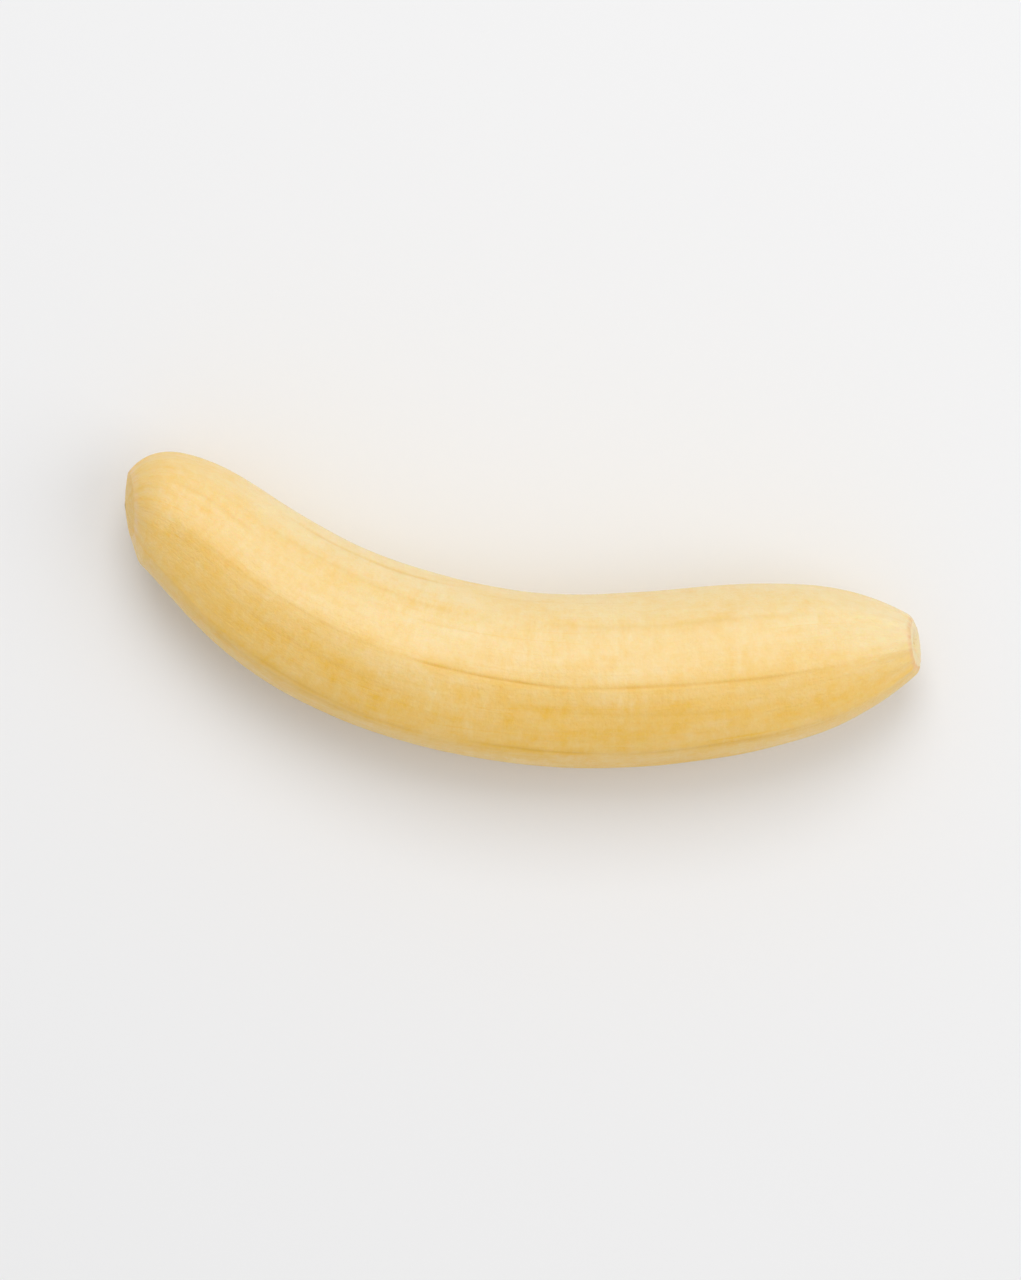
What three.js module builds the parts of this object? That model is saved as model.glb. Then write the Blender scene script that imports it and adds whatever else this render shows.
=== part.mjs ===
// A peeled plantain lying on its side, in millimetres with +Z up.
// The whole fruit is one solid: a bowed body with seven soft facets whose corners carry shallow grooves,
// a broad rounded nose at the flower end (-X), a narrow trimmed face at the stem end (+X),
// and a flat band underneath, where the soft flesh has settled on the surface that it lies on.
// The origin is at the middle of the fruit's box, on the plane that it rests on.

import * as THREE from "three";
import { ParametricGeometry } from "three/addons/geometries/ParametricGeometry.js";
import { mergeVertices } from "three/addons/utils/BufferGeometryUtils.js";

// Driving dimensions
const LENGTH = 177.8; // along the centre line, from end face to end face
const HALF_WIDTH = 18.8; // across the bow, at the fattest section
const HALF_HEIGHT = 18.2; // upwards from the centre line, at the fattest section
const REST_DEPTH = 16.6; // from the centre line down to the flat that the fruit rests on

// The centre line's heading in degrees, as a cubic in the share s of its length: it bows away from +Y.
const HEADING = [-43.6, 92.5, 36.6, -68.1];
const NOSE_BEND = 56.9; // degrees that the heading is turned back at the very tip of the nose
const BEND_FADE = 0.149; // share of the length over which that bend fades out

// The flower end is a broad rounded nose.
const FLOWER_END = {
  girth: 0.615, // share of the fattest section that the body tapers to
  taper: 2.77, // power of the taper: the higher, the later it starts
  rimLength: 8, // length over which the rim rounds off
  rimCut: 0.36, // share of the girth that the rounding takes
  flatness: 0.34, // of the facets: 0 gives a round section, 1 a section with straight sides
  lean: 11, // degrees that the face leans back from upright
  dome: 0.95, // how far the face's middle stands out
  knob: 0.3, // how far the remains of the flower stand out of the dome
  knobShare: 0.2, // the knob's radius, as a share of the face's
};

// The stem end is a narrow face, trimmed across, with a hollow where the stem's core was.
const STEM_END = {
  girth: 0.32,
  taper: 5.54,
  rimLength: 1.2,
  rimCut: 0.12,
  flatness: 0.6,
  lean: 15,
  dome: 0.4,
  knob: -1.6, // below 0, so a hollow
  knobShare: 0.45,
};
const RIM_POWER = 3; // of a rim's rounding: 1 gives a straight chamfer
const FLATNESS_FADE = 0.35; // share of the length over which an end's flatness fades out
const LEAN_FADE = 0.16; // share of the length over which an end's lean fades out

// The corner lines between facets, as angles round the section from the hollow side (+Y) over the top.
const CORNERS = [3, 52, 93.6, 142, 202, 247, 295];
const FLATNESS = 0.36; // of the facets in the fruit's middle
const CORNER_WANDER = 3.2; // degrees that a corner line strays to each side along the fruit
const WANDER_SHIFT = Math.PI / 2; // by which each corner line's straying lags the one before
const GROOVE_DEPTH = 0.28;
const GROOVE_HALF_WIDTH = 1.6; // degrees

// Slow slanting swells of the flesh: height, waves round the section, radians along the fruit, and phase.
const SWELLS = [
  { height: 0.2, around: 2, along: 9.5, phase: 0.6 },
  { height: 0.14, around: 3, along: -17, phase: 2.1 },
];

// How finely the skin is divided
const FACET_STEPS = [-1, -0.94, -0.8, -0.3, 0.3, 0.8, 0.94]; // across a facet, closest at its corners
const BODY_ROWS = 56;
const FACE_RINGS = [0, 0.2, 0.4, 0.6, 0.82]; // radii as shares of the face's, from its middle
const RIM_STEPS = [0, 0.1, 0.22, 0.38, 0.58, 0.8]; // shares of the rim's length, from the face
const END_CROWDING = 0.45; // 0 spaces the body's rows evenly, and towards 1 they crowd at the ends
const CENTRE_STEPS = 400;
const WELD = 1e-4; // points closer than this become one

const FULL_TURN = 360;
const radians = THREE.MathUtils.degToRad;

// 1 at an end, falling smoothly to 0 where the distance from it reaches the fade.
function nearness(distance, fade) {
  return Math.max(0, 1 - distance / fade) ** 2;
}

// Returns the heading in degrees at share s of the centre line.
function headingAt(s) {
  const bow = HEADING.reduce((sum, factor, power) => sum + factor * s ** power, 0);
  return bow + NOSE_BEND * nearness(s, BEND_FADE);
}

// Adds up the heading into points of the centre line, from the flower end.
function centreLine() {
  const step = LENGTH / CENTRE_STEPS;
  const points = [new THREE.Vector3()];
  for (let i = 0; i < CENTRE_STEPS; i++) {
    const heading = radians(headingAt((i + 0.5) / CENTRE_STEPS));
    const ahead = new THREE.Vector3(Math.cos(heading), Math.sin(heading), 0);
    points.push(points[i].clone().addScaledVector(ahead, step));
  }
  return points;
}

const CENTRE_POINTS = centreLine();

function centreAt(s) {
  const place = s * CENTRE_STEPS;
  const i = Math.min(Math.floor(place), CENTRE_STEPS - 1);
  return CENTRE_POINTS[i].clone().lerp(CENTRE_POINTS[i + 1], place - i);
}

// The section's size at s as a share of the fattest one: it tapers to each end and rounds off at the rim.
function girthAt(s) {
  const end = s < 0.5 ? FLOWER_END : STEM_END;
  const distance = Math.min(s, 1 - s);
  const taper = 1 - (1 - end.girth) * (1 - 2 * distance) ** end.taper;
  const inRim = Math.max(0, 1 - (distance * LENGTH) / end.rimLength);
  return taper * (1 - end.rimCut * inRim ** RIM_POWER);
}

// The section plane at s: its centre, the way across it (to the hollow side) and along the fruit,
// how far it leans back for each unit upwards, and its size.
function sectionAt(s) {
  const lean = STEM_END.lean * nearness(1 - s, LEAN_FADE) - FLOWER_END.lean * nearness(s, LEAN_FADE);
  const angle = radians(headingAt(s));
  return {
    centre: centreAt(s),
    across: new THREE.Vector3(-Math.sin(angle), Math.cos(angle), 0),
    along: new THREE.Vector3(Math.cos(angle), Math.sin(angle), 0),
    lean: Math.tan(radians(lean)),
    girth: girthAt(s),
  };
}

// The angle of a corner line at s: each strays gently to both sides of its place, but not at the ends.
function cornerAt(number, s) {
  const stray = Math.sin(2 * Math.PI * s + WANDER_SHIFT * number);
  return CORNERS[number] + CORNER_WANDER * Math.sin(Math.PI * s) * stray;
}

// The facet that a column belongs to at s: its middle and half its width as angles,
// and the column's place across it, from -1 at the first corner to 1 at the second.
function facetAt(column, s) {
  const number = Math.floor(column / FACET_STEPS.length);
  const next = (number + 1) % CORNERS.length;
  const start = cornerAt(number, s);
  const stop = cornerAt(next, s) + (next === 0 ? FULL_TURN : 0);
  const place = FACET_STEPS[column % FACET_STEPS.length];
  return { middle: (start + stop) / 2, half: (stop - start) / 2, place };
}

// The radius round a section as a share: a low arch across each facet and a groove on each corner line.
function outlineAt(facet, s) {
  const flower = nearness(s, FLATNESS_FADE) * (FLOWER_END.flatness - FLATNESS);
  const stem = nearness(1 - s, FLATNESS_FADE) * (STEM_END.flatness - FLATNESS);
  const dip = (FLATNESS + flower + stem) * (1 - Math.cos(radians(facet.half)));
  const fromCorner = (1 - Math.abs(facet.place)) * facet.half;
  const groove = (GROOVE_DEPTH / HALF_WIDTH) * Math.exp(-((fromCorner / GROOVE_HALF_WIDTH) ** 2));
  return 1 - dip * (1 - facet.place ** 2) - groove;
}

// Slow swells that run slantwise along the flesh, and fade out at the ends.
function swellAt(s, angle) {
  const waves = SWELLS.map(({ height, around, along, phase }) => {
    return height * Math.sin(around * angle + along * s + phase);
  });
  return waves.reduce((sum, wave) => sum + wave) * Math.sin(Math.PI * s);
}

// A point of the section at s: a column round it, at a radius given as a share of the skin's.
function sectionPoint(s, column, share) {
  const facet = facetAt(column, s);
  const angle = radians(facet.middle + facet.place * facet.half);
  const { centre, across, along, lean, girth } = sectionAt(s);
  const radius = girth * outlineAt(facet, s);
  const swell = swellAt(s, angle);
  const sideways = share * (radius * HALF_WIDTH + swell) * Math.cos(angle);
  const upwards = share * (radius * HALF_HEIGHT + swell) * Math.sin(angle);
  const point = centre.addScaledVector(across, sideways).addScaledVector(along, -upwards * lean);
  point.z = Math.max(upwards, -REST_DEPTH);
  return { point, along };
}

// How far an end face stands out at a share of its radius: a low dome with a knob or hollow in its middle.
function riseAt(end, share) {
  const knob = end.knob * Math.exp(-((share / end.knobShare) ** 2));
  return (end.dome + knob) * (1 - share ** 2);
}

// The rows of one end, from the middle of its face outwards: rings over the face, then over its rim.
// Inwards is 1 where s grows from the face into the fruit, and -1 where it falls.
function endRows(end, inwards) {
  const face = inwards > 0 ? 0 : 1;
  const rings = FACE_RINGS.map((share) => ({ s: face, share, rise: -inwards * riseAt(end, share) }));
  const rim = RIM_STEPS.map((step) => {
    const distance = (end.rimLength * step) / LENGTH;
    return { s: face + inwards * distance, share: 1, rise: 0 };
  });
  return [...rings, ...rim];
}

// All rows, from the middle of the flower end's face, over the body, to the middle of the stem end's face.
function skinRows() {
  const start = FLOWER_END.rimLength / LENGTH;
  const stop = 1 - STEM_END.rimLength / LENGTH;
  const body = [];
  for (let i = 0; i <= BODY_ROWS; i++) {
    const even = i / BODY_ROWS;
    const crowded = even - (END_CROWDING * Math.sin(2 * Math.PI * even)) / (2 * Math.PI);
    body.push({ s: start + (stop - start) * crowded, share: 1, rise: 0 });
  }
  return [...endRows(FLOWER_END, 1), ...body, ...endRows(STEM_END, -1).reverse()];
}

// Joins the grid's seam and its two poles, and leaves out the triangles that they flatten.
function closed(grid) {
  grid.deleteAttribute("normal");
  grid.deleteAttribute("uv");
  const merged = mergeVertices(grid, WELD);
  const corners = merged.index.array;
  const kept = [];
  for (let i = 0; i < corners.length; i += 3) {
    const [a, b, c] = corners.slice(i, i + 3);
    if (a !== b && b !== c && c !== a) kept.push(a, b, c);
  }
  merged.setIndex(kept);
  merged.computeVertexNormals();
  return merged;
}

function fruitGeometry() {
  const rows = skinRows();
  const columns = CORNERS.length * FACET_STEPS.length;
  const place = (u, v, target) => {
    const column = Math.round(u * columns) % columns;
    const { s, share, rise } = rows[Math.round(v * (rows.length - 1))];
    const { point, along } = sectionPoint(s, column, share);
    target.copy(point.addScaledVector(along, rise));
  };
  return closed(new ParametricGeometry(place, columns, rows.length - 1));
}

const flesh = new THREE.MeshStandardMaterial({ color: 0xf3cf86, roughness: 0.5, metalness: 0 });
const plantain = new THREE.Mesh(fruitGeometry(), flesh);
plantain.name = "plantain";

// Puts the origin at the middle of the fruit's box, on the plane that it rests on.
const box = new THREE.Box3().setFromObject(plantain);
const middle = box.getCenter(new THREE.Vector3());
plantain.position.set(-middle.x, -middle.y, -box.min.z);

const part = new THREE.Group();
part.add(plantain);

export default part;
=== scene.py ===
"""A peeled plantain on a pale floor, seen from straight above in soft daylight."""

import math

import bpy
import numpy as np
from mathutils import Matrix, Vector


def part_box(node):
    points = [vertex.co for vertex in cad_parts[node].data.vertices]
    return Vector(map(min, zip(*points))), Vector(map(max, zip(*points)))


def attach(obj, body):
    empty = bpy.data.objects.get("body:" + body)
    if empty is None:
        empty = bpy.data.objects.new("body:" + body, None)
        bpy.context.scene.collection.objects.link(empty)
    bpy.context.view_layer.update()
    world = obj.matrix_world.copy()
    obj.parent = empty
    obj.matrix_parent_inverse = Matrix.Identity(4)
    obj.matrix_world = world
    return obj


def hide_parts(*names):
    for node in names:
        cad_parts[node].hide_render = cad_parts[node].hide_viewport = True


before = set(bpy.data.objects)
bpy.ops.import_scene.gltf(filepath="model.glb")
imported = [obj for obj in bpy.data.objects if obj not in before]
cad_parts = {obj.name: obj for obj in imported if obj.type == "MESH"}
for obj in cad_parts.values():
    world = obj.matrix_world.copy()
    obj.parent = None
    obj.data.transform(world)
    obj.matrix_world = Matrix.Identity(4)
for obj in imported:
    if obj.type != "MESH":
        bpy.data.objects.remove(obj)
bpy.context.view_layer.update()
MM = 0.001

# Fruit, in millimetres: the same sizes as the solid's
LENGTH = 177.8  # along the centre line
HALF_WIDTH = 18.8
HALF_HEIGHT = 18.2
REST_DEPTH = 16.6  # from the centre line down to the flat underneath
HEADING = (-43.6, 92.5, 36.6, -68.1)  # degrees, as a cubic in the share of the length
NOSE_BEND = 56.9  # degrees that the heading is turned back at the tip of the nose
BEND_FADE = 0.149
FLOWER = dict(girth=0.615, taper=2.77, rim_length=8.0, rim_cut=0.36, flatness=0.34,
              lean=11.0, dome=0.95, knob=0.3, knob_share=0.2)
STEM = dict(girth=0.32, taper=5.54, rim_length=1.2, rim_cut=0.12, flatness=0.6,
            lean=15.0, dome=0.4, knob=-1.6, knob_share=0.45)
RIM_POWER = 3  # of a rim's rounding: 1 gives a straight chamfer
FLATNESS_FADE = 0.35
LEAN_FADE = 0.16
CORNERS = (3.0, 52.0, 93.6, 142.0, 202.0, 247.0, 295.0)  # degrees round the section
FLATNESS = 0.36
CORNER_WANDER = 3.2
WANDER_SHIFT = math.pi / 2
SWELLS = ((0.2, 2, 9.5, 0.6), (0.14, 3, -17.0, 2.1))  # height, around, along, phase

# Fine relief that the solid leaves out, in millimetres
CREASE_DEPTH = 0.2
LUMP_HEIGHT = 0.06
FIBRE_HEIGHT = 0.012
PUCKER_HEIGHT = 0.12  # of the folds that run into the two ends
REST_SOFTNESS = 1.0  # how far the edge of the flat underneath is rounded over
CORNER_SOFTNESS = 0.25  # of the corners between facets, as a share of a facet's arch

# Waves that the relief is summed from: how many, turns round the section, and lengths in
# millimetres
LUMPS = dict(seed=3, count=14, around=(2, 9), length=(14, 60))
FIBRES = dict(seed=5, count=30, around=(24, 60), length=(60, 400))
PUCKERS = dict(seed=9, count=9, around=(7, 17), length=(90, 300))
NOSE_PUCKER_FADE = 0.08  # share of the length over which the folds give way to lumps and fibres
STEM_PUCKER_FADE = 0.06

# Creases on the upper side: angles at the start and stop, shares of the length where it starts
# and stops, depth as a share of the deepest, and half its width in millimetres
UPPER_CREASES = (
    (92.5, 90.5, 0.05, 0.43, 0.35, 0.40),
    (90.5, 94.0, 0.36, 0.61, 1.00, 0.32),
    (93.0, 98.0, 0.54, 0.92, 0.70, 0.35),
    (49.0, 51.5, 0.03, 0.52, 0.22, 0.60),
    (50.5, 54.5, 0.47, 0.96, 0.26, 0.60),
    (60.0, 62.0, 0.02, 0.17, 0.25, 0.50),
    (112.0, 114.0, 0.13, 0.43, 0.30, 0.80),
    (108.5, 111.5, 0.48, 0.66, 0.24, 0.60),
    (112.0, 118.0, 0.59, 0.82, 0.30, 0.60),
    (141.0, 142.0, 0.17, 0.47, 0.50, 0.42),
    (141.0, 145.0, 0.45, 0.65, 0.85, 0.40),
    (144.0, 147.0, 0.63, 0.94, 0.45, 0.50),
)

# Creases on the sides and underneath, drawn at random from these ranges
HIDDEN_CREASES = 22
HIDDEN_SEED = 11
HIDDEN_ANGLES = (149, 180, 202, 225, 247, 270, 295, 330, 363, 385)  # degrees, taken in turn
HIDDEN_STRAY = 3  # degrees to either side of those angles
HIDDEN_START = (0.02, 0.7)  # shares of the length
HIDDEN_SPAN = (0.15, 0.5)
HIDDEN_LAST_STOP = 0.97
HIDDEN_DRIFT = 5  # degrees that a crease drifts to either side along its length
HIDDEN_DEPTH = (0.15, 0.8)
HIDDEN_HALF_WIDTH = (0.38, 0.7)

# How a crease wanders and fades: the rates are radians over the fruit's length, and the lags are
# radians from one crease to the next
CREASE_SWAY = 0.7  # degrees
CREASE_SWAY_RATE = 19
CREASE_SWAY_LAG = 2.1
CREASE_FADE = 0.3  # share of a crease's length over which it fades in, and out again
CREASE_PATCHINESS = 0.2
PATCH_RATES = (83, 37)
PATCH_LAGS = (1.7, 1)
# The soft band round a crease adds gold that is partly painted shade
HALO_WIDTH = 4  # of the soft band round a crease, in widths of the crease

# How golden the flesh is, 0 to 1: partly the flesh's own ripeness, partly painted shade and painted
# highlight
RIPE_HOLLOW_SIDE = 0.13
# The rise towards the outer side, which is turned away from the window light, is partly riper flesh
# and partly painted shade
RIPE_AND_SHADE_RISE = 0.8  # from the hollow side to the outer side
RIPE_AND_SHADE_TURN = (-0.6, 0.75)  # where it starts and stops rising, from -1 innermost to 1 outermost
# The gold added at the nose and its tip, most on the hollow side, is partly painted shade of a
# neighbouring fruit; the paling towards the stem is partly a painted highlight
NOSE_RIPE_AND_SHADE = 0.34
TIP_RIPE_AND_SHADE = 0.3
STEM_PALE_AND_HIGHLIGHT = -0.4
NOSE_FADE = 0.2  # shares of the length over which what the ends add fades out
TIP_FADE = 0.05
STEM_FADE = 0.3
OUTER_DAMPING = 0.6  # share of what the ends add that is missing on the outer side
# Paling of the outer side near the nose: partly painted light
OUTER_NOSE_PALING_AND_LIGHT = 0.4
STEM_HALF = (0.4, 0.6)  # shares of the length between which the stem's half begins

# Grid of the skin
FACET_COLUMNS = 34
CORNER_CROWDING = 0.4  # 0 spaces a facet's columns evenly, and towards 1 they crowd at its corners
BODY_ROWS = 350
END_CROWDING = 0.3  # 0 spaces the body's rows evenly, and towards 1 they crowd at the ends
FACE_ROWS = 14
RIM_ROWS = 14
CENTRE_POINTS = 4001
FULL_TURN = 360.0
HALF_TURN = 180.0

# Picture
PHOTO_WIDTH = 1021
PHOTO_HEIGHT = 1280
ROLL = 10.8  # degrees that the fruit tips down to the right in the picture
FRUIT_SHARE = 0.8  # of the picture's width
CAMERA_HEIGHT = 1.1  # metres
SENSOR = 36.0  # millimetres
LIGHTS = (  # name, place in metres, size in metres, power in watts
    ("window", (-0.17, 0.88, 1.45), 1.0, 9.8),
    ("fill", (1.15, 0.05, 1.15), 1.2, 5.7),
)
SURROUND_STRENGTH = 0.62
FLOOR_COLOUR = (0.86, 0.86, 0.865, 1)
FLOOR_ROUGHNESS = 0.7
FLOOR_REACH = 4.0  # metres

# Colours of the flesh
CREAM = (0.92, 0.75, 0.425, 1)
# Paler cream for the stem's face, partly painted light
PALE_LIT = (0.98, 0.79, 0.43, 1)
GOLD = (0.88, 0.50, 0.022, 1)
AMBER = (0.74, 0.42, 0.04, 1)
PEACH = (0.86, 0.50, 0.22, 1)
ROSE = (0.90, 0.64, 0.40, 1)
BROWN = (0.30, 0.15, 0.05, 1)

# Noises in the flesh: factors across, across and along the fruit, blobs per millimetre, detail and
# roughness
NOISES = dict(
    blotches=((1, 1, 0.45), 0.075, 3, 0.6),
    mottle=((1, 1, 1), 0.3, 5, 0.75),
    streaks=((1, 1, 0.06), 0.5, 3, 0.6),
    hairs=((1, 1, 0.02), 0.34, 2, 0.5),
    marks=((0.3, 0.3, 1), 0.55, 3, 0.65),
    patches=((1, 1, 1), 0.05, 2, 0.5),
    wear=((1, 1, 1), 0.5, 3, 0.5),
    flecks=((1, 1, 1), 0.7, 2, 0.5),
    pores=((1, 1, 1), 1.3, 4, 0.6),
    grain=((1, 1, 0.06), 1.7, 3, 0.6),
)
NOISE_SPREAD = 4  # brings a noise of 0 to 1, which keeps near its middle, to about -1 to 1
HAIR_WIDTH = 0.035  # in the noise that the hairlines follow
PATCH_STEP = (-0.5, 0.6)
FLECK_STEP = (0.3, 0.8)
WEAR_STEP = (-0.6, 0.8, 0.35, 1)  # from, to, and the shares of a rim's colour left there

# How much each thing adds to the gold of the flesh; the ripeness and the band round the creases add
# partly painted shade, and the ripeness a painted highlight near the stem besides
GOLD_BASE = 0.2
GOLD_SHARES = dict(ripe_and_painted_light=0.5, blotches=0.17, mottle=0.17, streaks=0.05, hairs=0.18, halo_and_shade=0.15)
MARK_GOLD = 0.04
PATCH_MARK_GOLD = 0.09  # what the marks add besides, in patches

# Places on the two ends, in millimetres from the edge of the face, below 0 on the face
FACE_EDGE = (-0.6, 0)
STEM_RIM = (0.1, 0.7)  # middle and half width
NOSE_RIM = (0.3, 0.9)
STEM_CORE = (-5.4, -3.0)
NOSE_KNOB = (-7.6, -5.9)

# How strongly each place takes its colour; at the creases and on the nose's face this is partly
# painted shade, and on the stem's face partly painted light
CREASE_SHADE_TINT = 0.75
STEM_FACE_LIGHT_TINT = 0.8
NOSE_FACE_SHADE_TINT = 0.35
NOSE_FACE_MOTTLE = 0.3
STEM_RIM_TINT = 0.85
NOSE_RIM_TINT = 0.5
STEM_CORE_TINT = 0.45
FLECK_TINT = 0.5
KNOB_TINT = 0.8

PORE_SHARE = 0.7  # of the finest relief; the grain has the rest
FINEST_RELIEF = 0.00008  # metres
GLOSS = (-1, 1, 0.38, 0.54)  # from and to, in the pores' noise, and the roughness there


def nearness(distance, fade):
    """1 at distance 0, falling as a parabola to 0 at the fade."""
    return np.clip(1 - distance / fade, 0, 1) ** 2


def smooth(value, low, high):
    """0 below low, 1 above high, and a cubic with level ends between them."""
    t = np.clip((value - low) / (high - low), 0, 1)
    return t * t * (3 - 2 * t)


def heading_at(s):
    """The centre line's heading in radians: a cubic in s, turned back towards the nose's tip."""
    bow = sum(factor * s**power for power, factor in enumerate(HEADING))
    return np.radians(bow + NOSE_BEND * nearness(s, BEND_FADE))


def centre_at(s):
    """The centre line's points: running sums of the heading's cosine and sine over fine steps."""
    fine = np.linspace(0, 1, CENTRE_POINTS)
    middle = (fine[1:] + fine[:-1]) / 2
    step = LENGTH / (len(fine) - 1)
    x = np.concatenate([[0], np.cumsum(np.cos(heading_at(middle)) * step)])
    y = np.concatenate([[0], np.cumsum(np.sin(heading_at(middle)) * step)])
    return np.interp(s, fine, x), np.interp(s, fine, y)


def girth_at(s):
    """The section's size as a share of the fattest: 1 less a power of the distance from the
    middle, rounded off as a cubic over each end's rim."""
    def side(end):
        distance = np.minimum(s, 1 - s)
        taper = 1 - (1 - end["girth"]) * (1 - 2 * distance) ** end["taper"]
        in_rim = np.clip(1 - distance * LENGTH / end["rim_length"], 0, 1)
        return taper * (1 - end["rim_cut"] * in_rim**RIM_POWER)
    return np.where(s < 0.5, side(FLOWER), side(STEM))


def corner_angles(s):
    """The corner lines' angles in degrees, one row for each: its place plus a slow sine in s."""
    number = np.arange(len(CORNERS))[:, None]
    stray = np.sin(2 * np.pi * s + WANDER_SHIFT * number)
    return np.array(CORNERS)[:, None] + CORNER_WANDER * np.sin(np.pi * s) * stray


def skin_rows():
    """The rows from the flower face's middle to the stem face's middle, as two arrays: the share s
    of the length, and the radius as a share of the skin's. The body's rows are even, less a sine
    that crowds them at the ends."""
    ring = np.linspace(0, 1, FACE_ROWS + 1)[:-1]
    step = np.linspace(0, 1, RIM_ROWS + 1)[:-1] / LENGTH
    flower_rim = FLOWER["rim_length"] * step
    stem_rim = STEM["rim_length"] * step
    even = np.linspace(0, 1, BODY_ROWS)
    crowded = even - END_CROWDING * np.sin(2 * np.pi * even) / (2 * np.pi)
    start = FLOWER["rim_length"] / LENGTH
    stop = 1 - STEM["rim_length"] / LENGTH
    body = start + (stop - start) * crowded
    s = np.concatenate([0 * ring, flower_rim, body, 1 - stem_rim[::-1], 1 + 0 * ring])
    skin = np.ones(len(flower_rim) + len(body) + len(stem_rim))
    share = np.concatenate([ring, skin, ring[::-1]])
    return s, share


def skin_columns(s):
    """For each row, the columns' angles in radians, their places across the facets (-1 to 1) and
    the facets' half widths in degrees. The places mix an even spacing with a cosine's, so that the
    columns crowd at the corners."""
    even = np.linspace(0, 1, FACET_COLUMNS + 1)[:-1]
    place = (1 - CORNER_CROWDING) * (2 * even - 1) - CORNER_CROWDING * np.cos(np.pi * even)
    corners = corner_angles(s)
    following = np.vstack([corners[1:], corners[:1] + FULL_TURN])
    middle = (corners + following) / 2
    half = (following - corners) / 2
    angle = middle[:, None, :] + half[:, None, :] * place[None, :, None]
    columns = len(CORNERS) * FACET_COLUMNS
    angle = angle.reshape(columns, -1).T
    half = np.repeat(half, FACET_COLUMNS, axis=0).T
    place = np.tile(place, len(CORNERS))[None, :]
    return np.radians(angle), place, half


def waves(angle, along, seed, count, around, length):
    """A sum of sine waves over the skin, mostly within -2 to 2: each has a whole number of turns
    round the section, drawn from the range around, and a wave length along the fruit, drawn from
    the range length in millimetres."""
    draw = np.random.default_rng(seed)
    total = 0
    for _ in range(count):
        turns = draw.integers(around[0], around[1] + 1)
        pace = draw.choice([-1, 1]) * 2 * np.pi / draw.uniform(*length)
        phase = draw.uniform(0, 2 * np.pi)
        total = total + np.sin(turns * angle + pace * along + phase)
    return total / math.sqrt(count)


def hidden_creases():
    """Creases for the sides and the underside, listed as the upper ones are: each runs from near
    one of the set angles, and drifts evenly."""
    draw = np.random.default_rng(HIDDEN_SEED)
    creases = []
    for number in range(HIDDEN_CREASES):
        place = HIDDEN_ANGLES[number % len(HIDDEN_ANGLES)]
        angle = place + draw.uniform(-HIDDEN_STRAY, HIDDEN_STRAY)
        start = draw.uniform(*HIDDEN_START)
        stop = min(start + draw.uniform(*HIDDEN_SPAN), HIDDEN_LAST_STOP)
        drift = draw.uniform(-HIDDEN_DRIFT, HIDDEN_DRIFT)
        depth = draw.uniform(*HIDDEN_DEPTH)
        half_width = draw.uniform(*HIDDEN_HALF_WIDTH)
        creases.append((angle, angle + drift, start, stop, depth, half_width))
    return creases


def crease_depths(angle, s, girth):
    """How deep the skin is creased at each point, 0 to 1, and a wider soft band round each crease.
    A crease is a bell across a line that drifts evenly from its first angle to its last and sways
    by a slow sine. It fades in and out over the ends of its length, and a product of two sines
    makes it patchy."""
    depth = 0
    halo_and_shade = 0
    for number, crease in enumerate([*UPPER_CREASES, *hidden_creases()]):
        first, last, start, stop, share, half_width = crease
        way = (s - start) / (stop - start)
        sway = CREASE_SWAY * np.sin(CREASE_SWAY_RATE * s + CREASE_SWAY_LAG * number)
        line = first + (last - first) * way + sway
        turned = (np.degrees(angle) - line + HALF_TURN) % FULL_TURN - HALF_TURN
        across = np.radians(turned) * HALF_WIDTH * girth
        patches = 1
        for rate, lag in zip(PATCH_RATES, PATCH_LAGS):
            patches = patches * np.sin(rate * s + lag * number)
        fade = smooth(way, 0, CREASE_FADE) * smooth(1 - way, 0, CREASE_FADE)
        strength = share * fade * (1 - CREASE_PATCHINESS + CREASE_PATCHINESS * patches)
        depth = np.maximum(depth, strength * np.exp(-((across / half_width) ** 2)))
        halo_and_shade = np.maximum(halo_and_shade, strength * np.exp(-((across / (HALO_WIDTH * half_width)) ** 2)))
    return depth, halo_and_shade


def ripeness_and_painted_light(angle, s, share):
    """How golden the flesh is, 0 to 1: it rises as a smooth step from the hollow side of the bow to
    the outer side, partly riper flesh and partly painted shade on the side turned away from the
    window light. The nose evens out, with more on its hollow side, partly painted shade of a
    neighbouring fruit, and less on its outer side, partly painted light, and the flesh pales a
    little towards the stem, partly a painted highlight. What the ends change falls off as
    parabolas."""
    outwards = smooth(-share * np.cos(angle), *RIPE_AND_SHADE_TURN)
    ends = (NOSE_RIPE_AND_SHADE * nearness(s, NOSE_FADE) + TIP_RIPE_AND_SHADE * nearness(s, TIP_FADE)
            + STEM_PALE_AND_HIGHLIGHT * nearness(1 - s, STEM_FADE))
    outer_nose_pale_and_light = OUTER_NOSE_PALING_AND_LIGHT * outwards * nearness(s, NOSE_FADE)
    body = RIPE_HOLLOW_SIDE + RIPE_AND_SHADE_RISE * outwards
    return body + (1 - OUTER_DAMPING * outwards) * ends - outer_nose_pale_and_light


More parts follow.
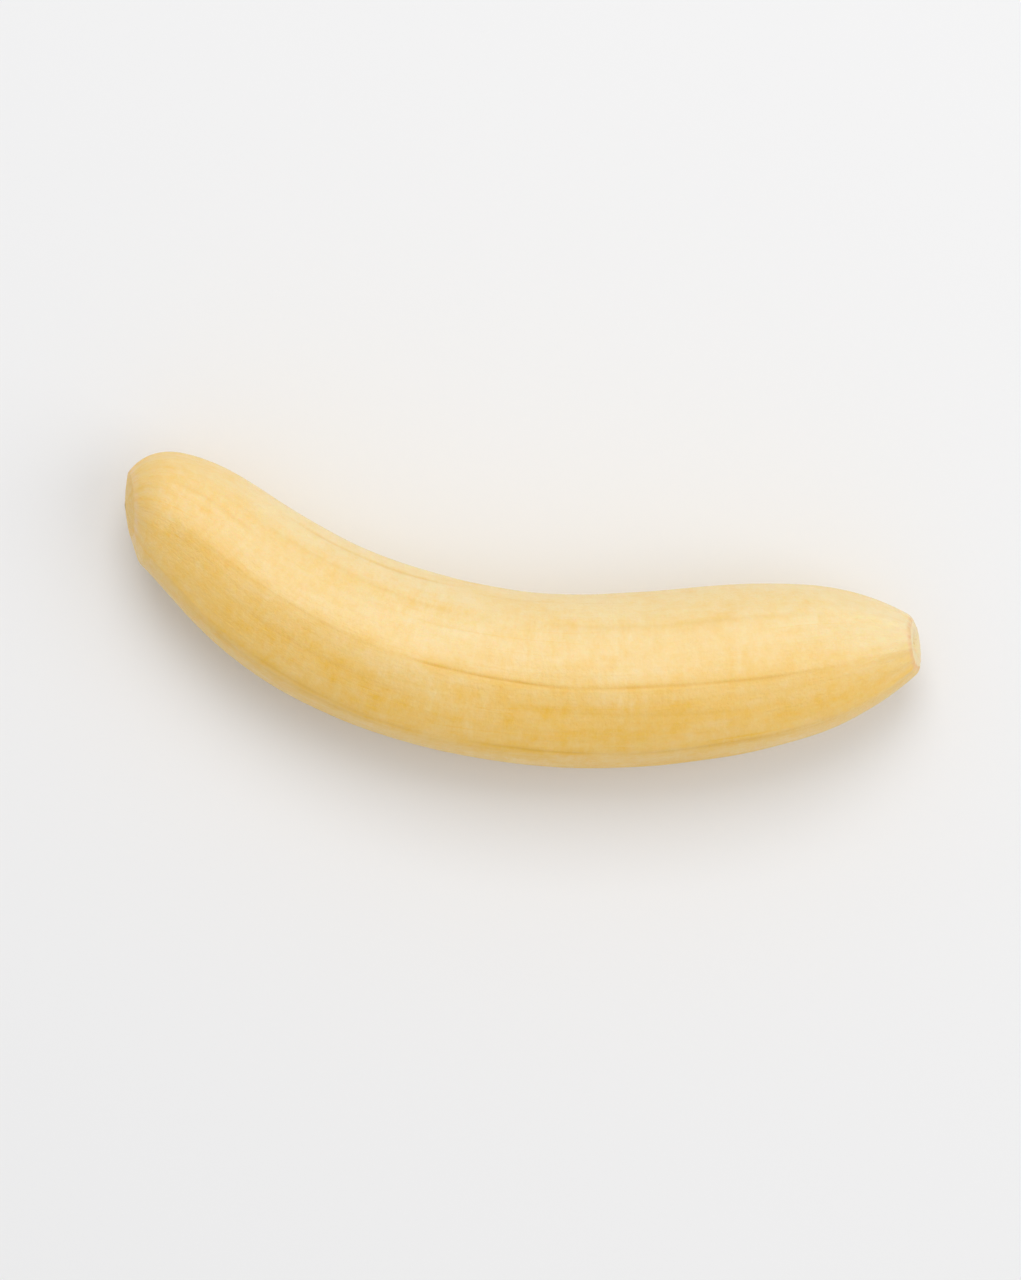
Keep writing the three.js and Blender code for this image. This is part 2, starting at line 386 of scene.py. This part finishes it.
def fruit_surface():
    """The skin as a grid of points, with its measures.

    Each section is an ellipse whose radius is 1 less a parabola across each facet, softened at the
    corners, with narrow bell-shaped creases. Slow swells, lumps, lengthwise fibres and the folds at
    the ends are added as sums of sines. The sections stand square to the centre line and lean back
    towards the two faces. They are cut off flat at the resting depth: the height above it becomes
    the mean of itself and the root of its square plus a small square, which rounds the edge. Each
    face is a parabolic dome, with a bell in it for the knob or the hollow."""
    s, share = skin_rows()
    angle, place, half = skin_columns(s)
    s, share = s[:, None], share[:, None]
    flatness = (FLATNESS + nearness(s, FLATNESS_FADE) * (FLOWER["flatness"] - FLATNESS)
                + nearness(1 - s, FLATNESS_FADE) * (STEM["flatness"] - FLATNESS))
    arch = 1 - place**2
    soft = np.sqrt(arch**2 + CORNER_SOFTNESS**2) - CORNER_SOFTNESS
    dip = flatness * (1 - np.cos(np.radians(half))) * soft
    girth = girth_at(s)
    depth, halo_and_shade = crease_depths(angle, s, girth)

    along = s * LENGTH
    swell = sum(h * np.sin(a * angle + l * s + p) for h, a, l, p in SWELLS) * np.sin(np.pi * s)
    lumps = LUMP_HEIGHT * waves(angle, along, **LUMPS)
    fibres = FIBRE_HEIGHT * waves(angle, along, **FIBRES)
    puckers = PUCKER_HEIGHT * waves(angle, along, **PUCKERS)
    body = smooth(s, 0, NOSE_PUCKER_FADE) * smooth(1 - s, 0, STEM_PUCKER_FADE)
    relief = swell + body * (lumps + fibres) + (1 - body) * puckers - CREASE_DEPTH * depth

    radius = girth * (1 - dip)
    sideways = share * (radius * HALF_WIDTH + relief) * np.cos(angle)
    upwards = share * (radius * HALF_HEIGHT + relief) * np.sin(angle)
    heading = heading_at(s)
    stem_lean = STEM["lean"] * nearness(1 - s, LEAN_FADE)
    lean = np.radians(stem_lean - FLOWER["lean"] * nearness(s, LEAN_FADE))
    rise = np.zeros_like(share)
    for end, face, way in ((FLOWER, s == 0, -1), (STEM, s == 1, 1)):
        knob = end["knob"] * np.exp(-((share / end["knob_share"]) ** 2))
        rise = np.where(face, way * (end["dome"] + knob) * (1 - share**2), rise)
    forward = rise - upwards * np.tan(lean)
    x, y = centre_at(s)
    x = x - np.sin(heading) * sideways + np.cos(heading) * forward
    y = y + np.cos(heading) * sideways + np.sin(heading) * forward
    above = upwards + REST_DEPTH
    z = (above + np.sqrt(above**2 + REST_SOFTNESS**2)) / 2 + 0 * x
    grid = np.stack([x, y, z], axis=-1)

    # Distance along the skin from the edge of the nearer end face, below 0 on the face
    face_radius = np.where(s < 0.5, girth_at(np.zeros(1)), girth_at(np.ones(1))) * HALF_WIDTH
    from_edge = np.minimum(s, 1 - s) * LENGTH - (1 - share) * face_radius + 0 * angle
    reach = share * HALF_WIDTH
    skin = np.stack([reach * np.cos(angle), reach * np.sin(angle), along + 0 * angle], axis=-1)
    measures = {
        "skin": skin,
        # The gold measure: partly the flesh's own ripeness, partly painted shade and painted
        # highlight
        "ripe_and_painted_light": ripeness_and_painted_light(angle, s, share),
        # The crease measure and the soft band round the creases tint the flesh: partly the creases'
        # own colour, partly painted shade
        "crease": depth * share,
        "halo_and_shade": halo_and_shade * share,
        "from_edge": from_edge,
        "stem_side": smooth(s, *STEM_HALF) + 0 * angle,
    }
    return grid, measures


def closed_mesh(name, grid):
    """Turns the grid into a closed mesh: each row is a ring, and the first and last rows, which
    have no width, are single points joined to their neighbours by triangles. All faces point
    outwards."""
    rows, columns, _ = grid.shape
    rings = grid[1:-1].reshape(-1, 3)
    points = np.vstack([grid[0, :1], rings, grid[-1, :1]])
    ring = np.arange(rows - 3)[:, None]
    column = np.arange(columns)[None, :]
    here = 1 + ring * columns + column
    beside = 1 + ring * columns + (column + 1) % columns
    quads = np.stack([here, beside, beside + columns, here + columns], axis=-1).reshape(-1, 4)
    side = np.arange(columns)
    following = (side + 1) % columns
    last = 1 + (rows - 3) * columns
    first_fan = np.stack([0 * side, 1 + following, 1 + side], axis=-1)
    last_fan = np.stack([last + side, last + following, 0 * side + len(points) - 1], axis=-1)
    mesh = bpy.data.meshes.new(name)
    faces = first_fan.tolist() + quads.tolist() + last_fan.tolist()
    mesh.from_pydata(points.tolist(), [], faces)
    mesh.shade_smooth()
    return mesh


def put_measure(mesh, name, values):
    """Stores a grid's measure on the mesh's points, as a number or a vector for each."""
    rings = values[1:-1].reshape(-1, *values.shape[2:])
    flat = np.concatenate([values[:1, 0], rings, values[-1:, 0]])
    kind, key = ("FLOAT_VECTOR", "vector") if values.ndim == 3 else ("FLOAT", "value")
    attribute = mesh.attributes.new(name, kind, "POINT")
    attribute.data.foreach_set(key, flat.astype(np.float32).ravel())


class Sum:
    """A number socket in a material. Arithmetic on it adds Math nodes and gives a new Sum."""

    def __init__(self, paint, socket):
        self.paint = paint
        self.socket = socket

    def _with(self, operation, *others):
        sockets = dict(enumerate([self, *others]))
        return self.paint.number("ShaderNodeMath", {"operation": operation}, sockets)

    def __add__(self, other):
        return self._with("ADD", other)

    __radd__ = __add__

    def __sub__(self, other):
        return self._with("SUBTRACT", other)

    def __rsub__(self, other):
        return (self * -1) + other

    def __mul__(self, other):
        return self._with("MULTIPLY", other)

    __rmul__ = __mul__

    def __abs__(self):
        return self._with("ABSOLUTE")


class Paint:
    """A material's node tree. node() adds any node, from its type, its settings and its sockets."""

    def __init__(self, name):
        self.material = bpy.data.materials.new(name)
        self.material.use_nodes = True
        self.tree = self.material.node_tree
        self.tree.nodes.clear()

    def node(self, kind, settings=None, sockets=None):
        node = self.tree.nodes.new(kind)
        for key, value in (settings or {}).items():
            setattr(node, key, value)
        for key, value in (sockets or {}).items():
            if isinstance(value, Sum):
                self.tree.links.new(value.socket, node.inputs[key])
            elif isinstance(value, bpy.types.NodeSocket):
                self.tree.links.new(value, node.inputs[key])
            else:
                node.inputs[key].default_value = value
        return node

    def number(self, kind, settings=None, sockets=None, output=0):
        return Sum(self, self.node(kind, settings, sockets).outputs[output])

    def measure(self, name):
        """A number that the mesh carries at each point."""
        return self.number("ShaderNodeAttribute", {"attribute_name": name}, None, "Fac")

    def mix(self, share, first, second):
        """Mixes two colours."""
        settings = {"data_type": "RGBA", "clamp_factor": True}
        return self.node("ShaderNodeMix", settings, {0: share, 6: first, 7: second}).outputs[2]

    def stretch(self, vector, factors):
        """Multiplies a vector by one factor for each of its axes."""
        settings = {"operation": "MULTIPLY"}
        return self.node("ShaderNodeVectorMath", settings, {0: vector, 1: factors}).outputs[0]

    def noise(self, vector, scale, detail, roughness):
        """Fractal noise, about -1 to 1: scale gives the blobs per millimetre."""
        sockets = {"Vector": vector, "Scale": scale, "Detail": detail, "Roughness": roughness}
        return (self.number("ShaderNodeTexNoise", None, sockets) - 0.5) * NOISE_SPREAD

    def step(self, value, low, high, out_low=0.0, out_high=1.0):
        """Maps a number from one range to another with a smooth step, held at the ends."""
        settings = {"interpolation_type": "SMOOTHSTEP"}
        sockets = {
            "Value": value, "From Min": low, "From Max": high,
            "To Min": out_low, "To Max": out_high,
        }
        return self.number("ShaderNodeMapRange", settings, sockets)

    def bell(self, value, middle, half_width):
        """1 where the value is at the middle, falling smoothly to 0 at half the width from it."""
        return self.step(abs(value - middle), 0, half_width, 1, 0)


def flesh_material():
    """Moist, well ripened flesh: pale cream yellow that turns golden towards the outer side of the
    bow, partly riper flesh and partly painted shade on the side turned away from the window light,
    with soft golden mottling, faint lengthwise streaks and hairlines, short crosswise marks and
    thin amber creases, whose amber and the soft band round them are partly their own colour and
    partly painted shade. The gold is a weighted sum of the ripeness, which carries painted shade
    and a painted highlight, and the noises. The stem face is pale, partly painted light, with a
    peach rim, hollow and flecks. The nose's face is golden, partly painted shade, with a rosy rim
    and a brown knob. The gloss is broad and soft."""
    paint = Paint("plantain_flesh")
    skin = paint.node("ShaderNodeAttribute", {"attribute_name": "skin"}).outputs["Vector"]
    noises = {}
    for name, (factors, *shape) in NOISES.items():
        noises[name] = paint.noise(paint.stretch(skin, factors), *shape)
    mottle = noises["mottle"]

    # Body
    patches = paint.step(noises["patches"], *PATCH_STEP)
    # The ripeness and the band round the creases add gold that is partly the flesh's own tone and
    # partly painted shade and painted highlight
    layers = dict(
        ripe_and_painted_light=paint.measure("ripe_and_painted_light"),
        blotches=noises["blotches"],
        mottle=mottle,
        streaks=noises["streaks"],
        hairs=paint.bell(noises["hairs"], 0, HAIR_WIDTH) * patches,
        halo_and_shade=paint.measure("halo_and_shade"),
    )
    gold = GOLD_BASE + noises["marks"] * (patches * PATCH_MARK_GOLD + MARK_GOLD)
    for name, share in GOLD_SHARES.items():
        gold = gold + layers[name] * share
    colour = paint.mix(gold, CREAM, GOLD)
    # Amber in the creases: partly their own colour, partly painted shade
    colour = paint.mix(paint.measure("crease") * CREASE_SHADE_TINT, colour, AMBER)

    # End faces and their rims
    from_edge = paint.measure("from_edge")
    stem_side = paint.measure("stem_side")
    nose_side = 1 - stem_side
    wear = paint.step(noises["wear"], *WEAR_STEP)
    face = paint.step(from_edge, *FACE_EDGE, 1, 0)
    stem_face = face * stem_side
    # The golden tint of the nose's face is partly painted shade
    nose_face_shade = mottle * NOSE_FACE_MOTTLE + NOSE_FACE_SHADE_TINT
    # The paler stem face is partly painted light on a face turned away from the window light
    colour = paint.mix(stem_face * STEM_FACE_LIGHT_TINT, colour, PALE_LIT)
    colour = paint.mix(face * nose_side * nose_face_shade, colour, GOLD)
    stem_rim = paint.bell(from_edge, *STEM_RIM) * stem_side * wear
    nose_rim = paint.bell(from_edge, *NOSE_RIM) * nose_side * wear
    colour = paint.mix(stem_rim * STEM_RIM_TINT, colour, PEACH)
    colour = paint.mix(nose_rim * NOSE_RIM_TINT, colour, ROSE)
    stem_core = paint.step(from_edge, *STEM_CORE, 1, 0) * stem_side
    flecks = paint.step(noises["flecks"], *FLECK_STEP) * stem_face
    knob = paint.step(from_edge, *NOSE_KNOB, 1, 0) * nose_side
    colour = paint.mix(stem_core * STEM_CORE_TINT, colour, PEACH)
    colour = paint.mix(flecks * FLECK_TINT, colour, AMBER)
    colour = paint.mix(knob * KNOB_TINT, colour, BROWN)

    # Finest relief and gloss
    pores = noises["pores"]
    height = pores * PORE_SHARE + noises["grain"] * (1 - PORE_SHARE)
    bump = paint.node("ShaderNodeBump", None, {
        "Strength": 0.9, "Distance": FINEST_RELIEF, "Height": height,
    })
    shader = paint.node("ShaderNodeBsdfPrincipled", None, {
        "Base Color": colour,
        "Roughness": paint.step(pores, *GLOSS),
        "Normal": bump.outputs[0],
        "IOR": 1.42,
        "Subsurface Weight": 0.4,
        "Subsurface Radius": (1.0, 0.55, 0.2),
        "Subsurface Scale": 0.003,
        "Coat Weight": 0.22,
        "Coat Roughness": 0.22,
    })
    paint.node("ShaderNodeOutputMaterial", None, {"Surface": shader.outputs[0]})
    return paint.material


def make_fruit():
    """The peeled fruit, in the place of its solid."""
    grid, measures = fruit_surface()
    low, high = (np.array(corner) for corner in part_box("plantain"))
    grid = grid * MM
    centre = (grid.min(axis=(0, 1)) + grid.max(axis=(0, 1))) / 2
    grid[..., :2] += ((low + high) / 2 - centre)[:2]
    grid[..., 2] += low[2] - grid[..., 2].min()
    mesh = closed_mesh("peeled_plantain", grid)
    for name, values in measures.items():
        put_measure(mesh, name, values)
    mesh.materials.append(flesh_material())
    fruit = bpy.data.objects.new("peeled_plantain", mesh)
    bpy.context.scene.collection.objects.link(fruit)
    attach(fruit, "root")
    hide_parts("plantain")


def make_floor():
    """A flat pale floor, far wider than the picture."""
    paint = Paint("floor")
    shader = paint.node("ShaderNodeBsdfPrincipled", None, {
        "Base Color": FLOOR_COLOUR, "Roughness": FLOOR_ROUGHNESS,
    })
    paint.node("ShaderNodeOutputMaterial", None, {"Surface": shader.outputs[0]})
    reach = FLOOR_REACH
    corners = [(-reach, -reach, 0), (reach, -reach, 0), (reach, reach, 0), (-reach, reach, 0)]
    mesh = bpy.data.meshes.new("floor")
    mesh.from_pydata(corners, [], [(0, 1, 2, 3)])
    mesh.materials.append(paint.material)
    floor = bpy.data.objects.new("floor", mesh)
    bpy.context.scene.collection.objects.link(floor)


def make_light(name, place, size, power):
    """A square soft box that faces the fruit."""
    light = bpy.data.lights.new(name, "AREA")
    light.size = size
    light.energy = power
    holder = bpy.data.objects.new(name, light)
    holder.location = place
    holder.rotation_euler = (-Vector(place)).to_track_quat("-Z", "Y").to_euler()
    bpy.context.scene.collection.objects.link(holder)


def make_camera():
    """A long lens straight above the fruit, rolled so that it lies as in the picture."""
    low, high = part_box("plantain")
    width = (high.x - low.x) / FRUIT_SHARE
    height = width * PHOTO_HEIGHT / PHOTO_WIDTH
    camera = bpy.data.cameras.new("camera")
    camera.sensor_width = SENSOR
    camera.lens = SENSOR * (CAMERA_HEIGHT - high.z / 2) / height
    holder = bpy.data.objects.new("camera", camera)
    holder.location = ((low.x + high.x) / 2, (low.y + high.y) / 2, CAMERA_HEIGHT)
    holder.rotation_euler = (0, 0, math.radians(ROLL))
    bpy.context.scene.collection.objects.link(holder)
    bpy.context.scene.camera = holder


def make_world():
    """An even pale surround."""
    world = bpy.data.worlds.new("surround")
    world.use_nodes = True
    background = world.node_tree.nodes["Background"]
    background.inputs["Color"].default_value = (1, 1, 1, 1)
    background.inputs["Strength"].default_value = SURROUND_STRENGTH
    bpy.context.scene.world = world


make_camera()
make_world()
for light_row in LIGHTS:
    make_light(*light_row)
make_floor()
make_fruit()
bpy.context.scene.view_settings.view_transform = "Standard"
